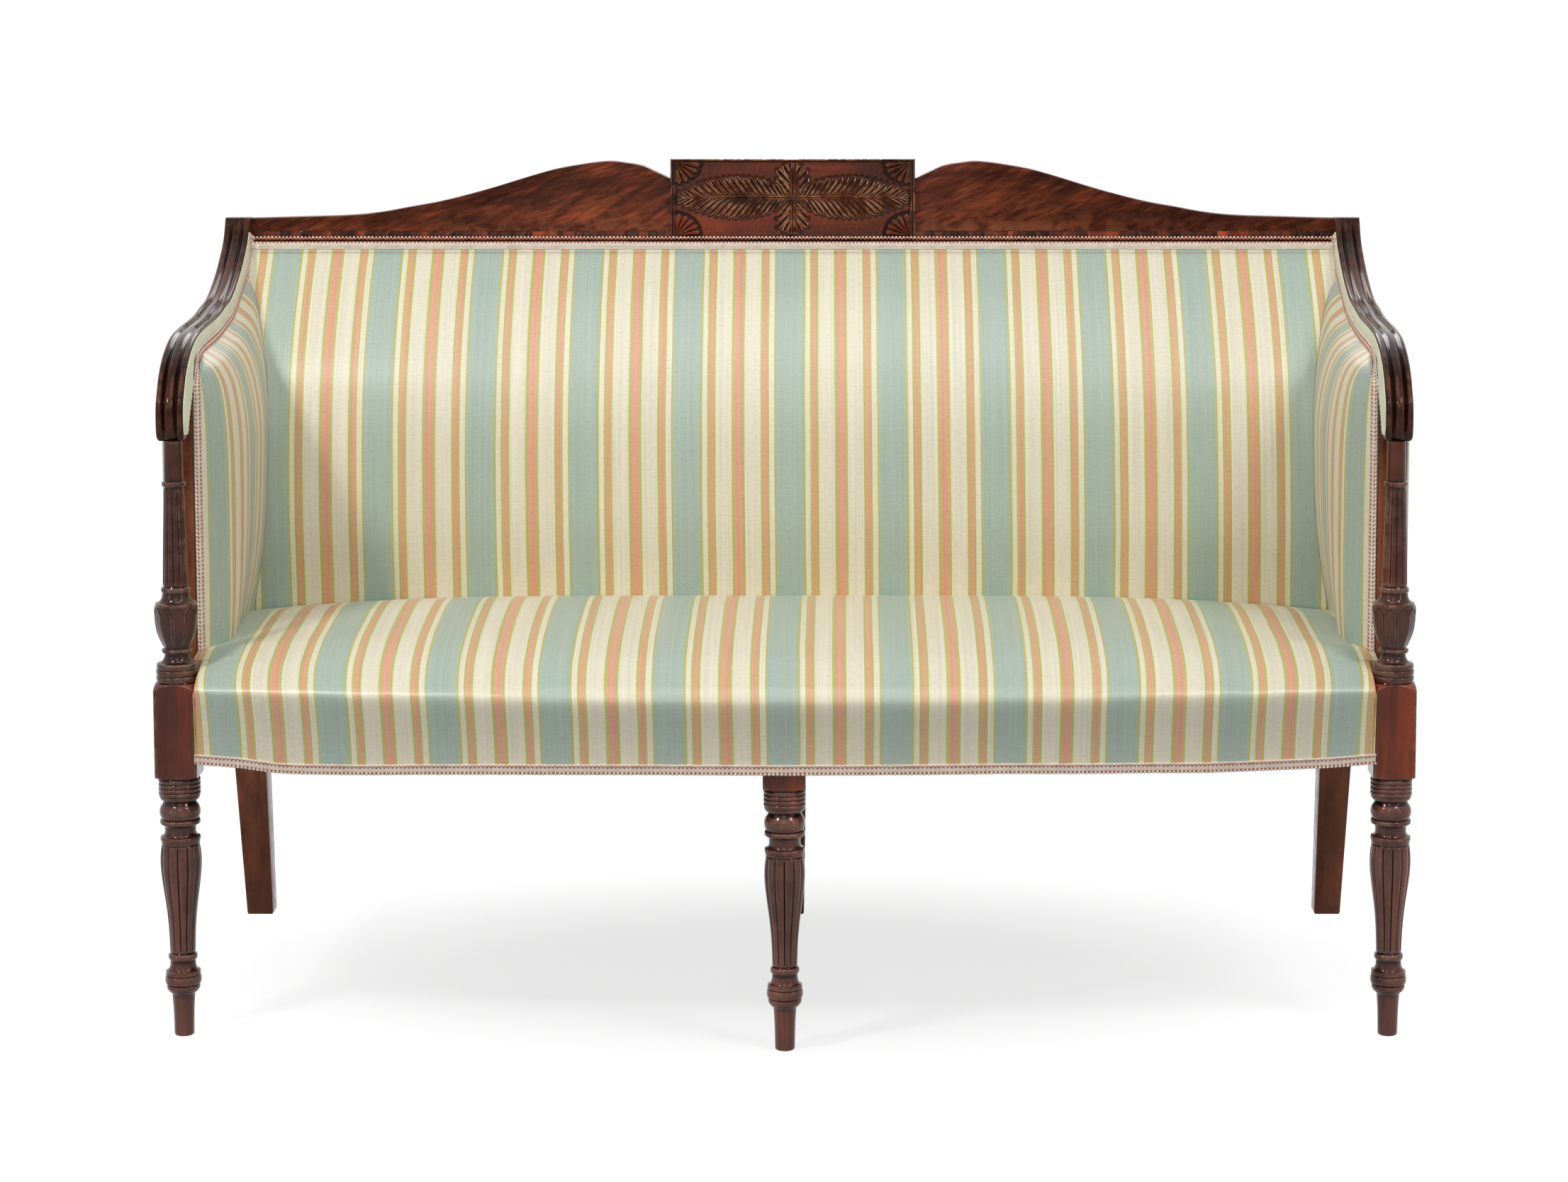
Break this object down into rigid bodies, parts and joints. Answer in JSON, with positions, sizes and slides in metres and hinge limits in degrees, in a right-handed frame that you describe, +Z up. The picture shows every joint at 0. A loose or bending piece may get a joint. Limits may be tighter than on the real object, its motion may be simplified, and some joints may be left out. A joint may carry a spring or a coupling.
{
  "type": "camelback sofa",
  "caption": "Tight-upholstered settee in striped satin on a show-wood mahogany frame: turned and reeded front legs, swept moulded arms and a humped crest rail with a carved centre tablet.",
  "frame": {"origin": "middle of the settee's footprint, on the floor", "axes": "+X towards the sitter's left along the settee's length, +Y towards the back, +Z up"},
  "size_m": [1.522, 0.7212, 1.0305],
  "materials": {
    "mahogany": "french polished, dark with red-brown lights",
    "beech": "plain, unfinished",
    "striped_satin": "satin weave, cream with green and peach stripes",
    "hair_stuffing": "matted curled hair",
    "pale_green_satin": "plain satin",
    "gimp_braid": "woven braid, matt",
    "jute_webbing": "coarse twill, matt",
    "cambric": "plain glazed cotton"
  },
  "bodies": {
    "root": {"front_post_left": "mahogany", "front_post_right": "mahogany", "front_middle_leg": "mahogany", "rear_post_left": "mahogany", "rear_post_right": "mahogany", "rear_middle_leg": "mahogany", "seat_rail_front_left": "beech", "seat_rail_front_right": "beech", "seat_rail_side_left": "beech", "seat_rail_side_right": "beech", "seat_rail_rear": "beech", "seat_cross_rail": "beech", "corner_block_front_left": "beech", "corner_block_front_right": "beech", "corner_block_rear_left": "beech", "corner_block_rear_right": "beech", "arm_rail_left": "mahogany", "arm_rail_right": "mahogany", "arm_front_stile_left": "mahogany", "arm_front_stile_right": "mahogany", "arm_rail_lower_left": "beech", "arm_rail_lower_right": "beech", "back_rail_lower": "beech", "back_upright_left": "beech", "back_upright_right": "beech", "crest_rail": "mahogany", "crest_tablet": "mahogany", "crest_bead": "mahogany", "arm_cover_left": "striped_satin", "arm_cover_right": "striped_satin", "arm_stuffing_left": "hair_stuffing", "arm_stuffing_right": "hair_stuffing", "arm_lining_left": "pale_green_satin", "arm_lining_right": "pale_green_satin", "arm_gimp_left": "gimp_braid", "arm_gimp_right": "gimp_braid", "back_cover": "striped_satin", "back_stuffing": "hair_stuffing", "seat_cover": "striped_satin", "seat_stuffing": "hair_stuffing", "seat_webbing": "jute_webbing", "back_webbing": "jute_webbing", "seat_gimp": "gimp_braid", "back_gimp": "gimp_braid", "outside_arm_cover_left": "striped_satin", "outside_arm_cover_right": "striped_satin", "outside_back_cover": "striped_satin", "dust_cover": "cambric"}
  },
  "joints": []
}
